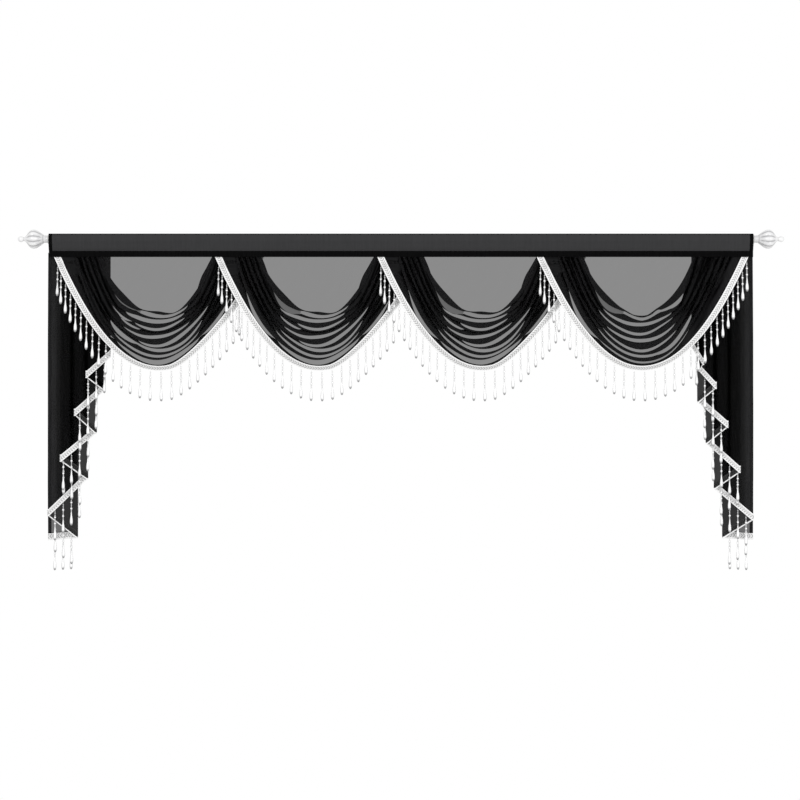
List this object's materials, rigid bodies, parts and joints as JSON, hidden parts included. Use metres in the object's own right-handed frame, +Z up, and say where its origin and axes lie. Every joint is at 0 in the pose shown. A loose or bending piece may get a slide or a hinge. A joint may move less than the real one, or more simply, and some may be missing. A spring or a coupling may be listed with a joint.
{
  "type": "waterfall valance on a curtain rod",
  "caption": "Sheer black waterfall valance with pleated swags, cascade tails and a white beaded braid, hung by its pocket heading on a rod with fluted finials.",
  "frame": {"origin": "middle of the rod's axis", "axes": "+X along the rod to the viewer's right, -Y to the viewer, +Z up"},
  "size_m": [2.1772, 0.1182, 0.9704],
  "materials": {
    "voile": "sheer black voile, one layer shows grey against the light",
    "braid": "white woven braid with satin edges",
    "beads": "clear and pearl white beads",
    "rod": "white paint",
    "finial": "pearl white with grey in the grooves"
  },
  "bodies": {
    "root": {"rod": "rod", "finial_left": "finial", "finial_right": "finial", "heading": "voile", "swag_1": "voile", "swag_2": "voile", "swag_3": "voile", "swag_4": "voile", "tail_left": "voile", "tail_right": "voile", "trim_swag_1": "braid", "trim_swag_2": "braid", "trim_swag_3": "braid", "trim_swag_4": "braid", "trim_tail_left": "braid", "trim_tail_right": "braid"}
  },
  "joints": []
}
